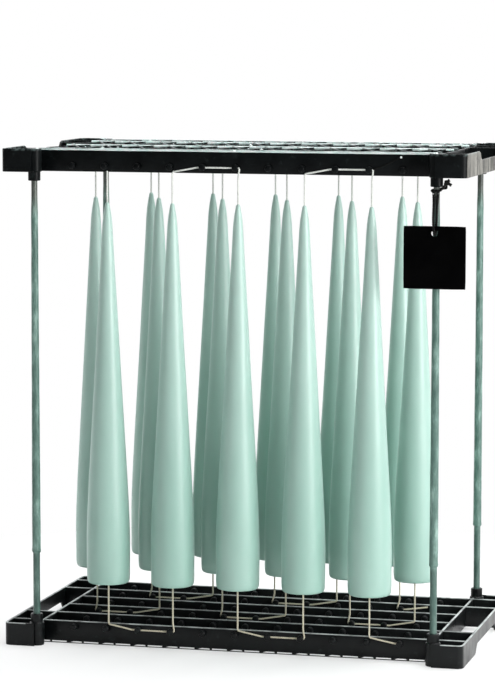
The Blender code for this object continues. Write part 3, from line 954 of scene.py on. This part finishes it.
def build_grid_mesh(name):
    """The moulding that both grids share, drawn as the lower one."""
    bm = bmesh.new()
    reach = OUTER_X - WALL / 2
    for number in range(1, RIBS + 1):
        y = rib_y(number)
        x = reach if number in (1, 2, RIBS - 1, RIBS) else CROSS_X
        add_bar(bm, (-x, x), (y - WALL / 2, y + WALL / 2), (RIB_BOTTOM, RIM))
    for side in (-1, 1):
        x = side * CROSS_X
        add_bar(bm, (x - WALL / 2, x + WALL / 2), (-POST_Y, POST_Y), (RIB_BOTTOM, RIM - 0.05 * MM))
        add_end_wall(bm, side)
        for sy in (-1, 1):
            add_socket(bm, side * POST_X, sy * POST_Y)
    strung = {rib: eyed_studs(first, side) for _, rib, first, side in ROWS}
    for rib in range(1, RIBS + 1):
        for number in range(1, STUDS + 1):
            add_stud(bm, stud_x(number), rib_y(rib) - WALL / 2, RIM - STUD_DROP,
                     number in strung.get(rib, ()))
    add_lattice(bm)
    return mesh_from(bm, name)


def build_grids():
    """The lower grid, and the same moulding turned over at the top."""
    lower = build_grid_mesh("bottom_grid_moulding")
    upper = lower.copy()
    upper.transform(Matrix.Translation((0.0, 0.0, HEIGHT)) @ Matrix.Rotation(math.pi, 4, "Y"))
    place("bottom_grid_moulding", lower, grid_plastic("black_plastic_lower", 0.22), "frame",
          "black_plastic", "bottom_grid")
    place("top_grid_moulding", upper, grid_plastic("black_plastic_upper", 0.09, HEIGHT - 2.5 * MM),
          "frame", "black_plastic", "top_grid")


def add_bead(bm, start, end, wide, swell, seed):
    """A run of cooled wax along an edge, a little thicker here and there."""
    line = evenly([start, end], 4.0 * MM)

    def size(i):
        at = Vector((line[i].x * 38, line[i].y * 38, seed * 1.7))
        return wide * (1.0 + swell * noise.noise(at))

    add_tube(bm, line, size, 6)


def add_peak(bm, at, tall, wide, lean):
    """A little pointed drip that has set upside down."""
    sides = 8
    rings = []
    for part, share in ((0.0, 1.0), (0.25, 0.72), (0.55, 0.36), (0.8, 0.16), (1.0, 0.04)):
        centre = at + (lean + UP) * (tall * part)
        turns = (2 * math.pi * i / sides for i in range(sides))
        rings.append([bm.verts.new(centre + Vector((math.cos(t), math.sin(t), 0.0))
                                   * (wide * share)) for t in turns])
    skin(bm, rings)
    bm.faces.new(rings[0])
    bm.faces.new(rings[-1])


def build_wax(mat):
    """Cooled wax on the outer face of the upper grid: runs along the ribs, and peaks."""
    chance = random.Random(11)
    bm = bmesh.new()
    level = HEIGHT - 0.9 * MM
    for rib in WAXED_RIBS:
        y = rib_y(rib)
        add_bead(bm, Vector((-CROSS_X, y, level)), Vector((CROSS_X, y, level)),
                 1.25 * MM, 0.18, 50 + rib)
    for rib in range(1, RIBS + 1):
        for node in range(-11, 12):
            if chance.random() < (0.42 if rib in WAXED_RIBS else 0.15):
                at = Vector((node * LATTICE_STEP + chance.uniform(-2, 2) * MM,
                             rib_y(rib) + chance.uniform(-1, 1) * MM, level))
                lean = Vector((chance.uniform(-0.5, 0.5), chance.uniform(-0.3, 0.3), 0.0))
                add_peak(bm, at, chance.uniform(0.8, 1.9) * MM, chance.uniform(1.3, 2.5) * MM,
                         lean)
    for side in (-1, 1):
        for sy in (-1, 1):
            at = Vector((side * POST_X, sy * POST_Y, HEIGHT - 0.4 * MM))
            for _ in range(4):
                shift = Vector((chance.uniform(-4, 4), chance.uniform(-4, 4), 0.0)) * MM
                lean = Vector((chance.uniform(-0.5, 0.5), chance.uniform(-0.5, 0.5), 0.0))
                add_peak(bm, at + shift, chance.uniform(0.6, 1.5) * MM,
                         chance.uniform(1.6, 2.6) * MM, lean)
    return place("top_grid_wax_film", mesh_from(bm, "top_grid_wax_film", 60), mat, "frame",
                 "green_wax")


# Stage ----------------------------------------------------------------------------------

def build_stage():
    """A white floor that glows for the camera: a little near the object, which lightens its cast
    shadow with painted light, and fully away from it as a bright backdrop.
    """
    mesh = bpy.data.meshes.new("floor")
    size = 40.0
    mesh.from_pydata([(-size, -size, 0), (size, -size, 0), (size, size, 0), (-size, size, 0)],
                     [], [(0, 1, 2, 3)])
    mat, tree, shader = new_material("floor_white", 0.9)
    shader.inputs["Base Color"].default_value = (0.90, 0.90, 0.90, 1.0)
    shader.inputs["Specular IOR Level"].default_value = 0.0
    where = tree.nodes.new("ShaderNodeTexCoord")
    length = tree.nodes.new("ShaderNodeVectorMath")
    length.operation = "LENGTH"
    tree.links.new(where.outputs["Object"], length.inputs[0])
    glow = tree.nodes.new("ShaderNodeEmission")
    blend = tree.nodes.new("ShaderNodeMixShader")
    path = tree.nodes.new("ShaderNodeLightPath")
    # Painted light: the floor's glow is 45 % near the object, lifting its cast shadow, and full far
    # away.
    far = spread(tree, length.outputs["Value"], 0.20, 0.62, 0.45, 1.0)
    tree.links.new(multiply(tree, far, path.outputs["Is Camera Ray"]), blend.inputs[0])
    tree.links.new(shader.outputs[0], blend.inputs[1])
    tree.links.new(glow.outputs[0], blend.inputs[2])
    tree.links.new(blend.outputs[0], tree.nodes["Material Output"].inputs["Surface"])
    mesh.materials.append(mat)
    floor = bpy.data.objects.new("floor", mesh)
    bpy.context.scene.collection.objects.link(floor)
    build_world()
    bpy.context.scene.view_settings.view_transform = "Standard"
    add_light("top", (0.3, 0.5, 2.0), (0.0, 0.0, 0.0), 1.8, 50.0)
    add_light("right", (1.85, -0.95, 0.75), (0.0, 0.0, 0.25), 1.0, 37.0)
    add_light("left", (-1.9, 0.5, 0.9), (0.0, 0.0, 0.25), 1.0, 5.0)


def build_world():
    """White to look at; as a light, a bright backdrop behind and a dim room in front."""
    world = bpy.data.worlds.new("studio")
    world.use_nodes = True
    tree = world.node_tree
    seen = tree.nodes["Background"]
    seen.inputs["Color"].default_value = (1.0, 1.0, 1.0, 1.0)
    room = tree.nodes.new("ShaderNodeBackground")
    room.inputs["Color"].default_value = (0.97, 0.985, 1.0, 1.0)
    where = tree.nodes.new("ShaderNodeTexCoord")
    split = tree.nodes.new("ShaderNodeSeparateXYZ")
    tree.links.new(where.outputs["Generated"], split.inputs[0])
    tree.links.new(spread(tree, split.outputs["Y"], 0.1, 0.8, 0.22, 1.25),
                   room.inputs["Strength"])
    path = tree.nodes.new("ShaderNodeLightPath")
    blend = tree.nodes.new("ShaderNodeMixShader")
    tree.links.new(path.outputs["Is Camera Ray"], blend.inputs[0])
    tree.links.new(room.outputs[0], blend.inputs[1])
    tree.links.new(seen.outputs[0], blend.inputs[2])
    tree.links.new(blend.outputs[0], tree.nodes["World Output"].inputs["Surface"])
    bpy.context.scene.world = world


def add_light(name, spot, target, size, power):
    data = bpy.data.lights.new(name, "AREA")
    data.shape = "SQUARE"
    data.size = size
    data.energy = power
    light = bpy.data.objects.new(name, data)
    light.location = spot
    light.rotation_euler = (Vector(target) - Vector(spot)).to_track_quat("-Z", "Y").to_euler()
    bpy.context.scene.collection.objects.link(light)


def main():
    build_camera()
    yarn = cord_yarn()
    tag = build_tag(tag_card())
    cord, route = build_cord("tag_cord_twist", cord_points(), yarn, "tag", "tag_cord")
    build_cord("cord_hitch_twist", hitch_points(), yarn, "cord_loop", "cord_hitch")
    build_knot(yarn)
    build_candles(candle_wax())
    build_wicks(wick_cotton())
    build_posts(post_coat())
    build_grids()
    film = wax_film()
    build_wax(film)
    build_tail(yarn, film)
    build_stage()


main()
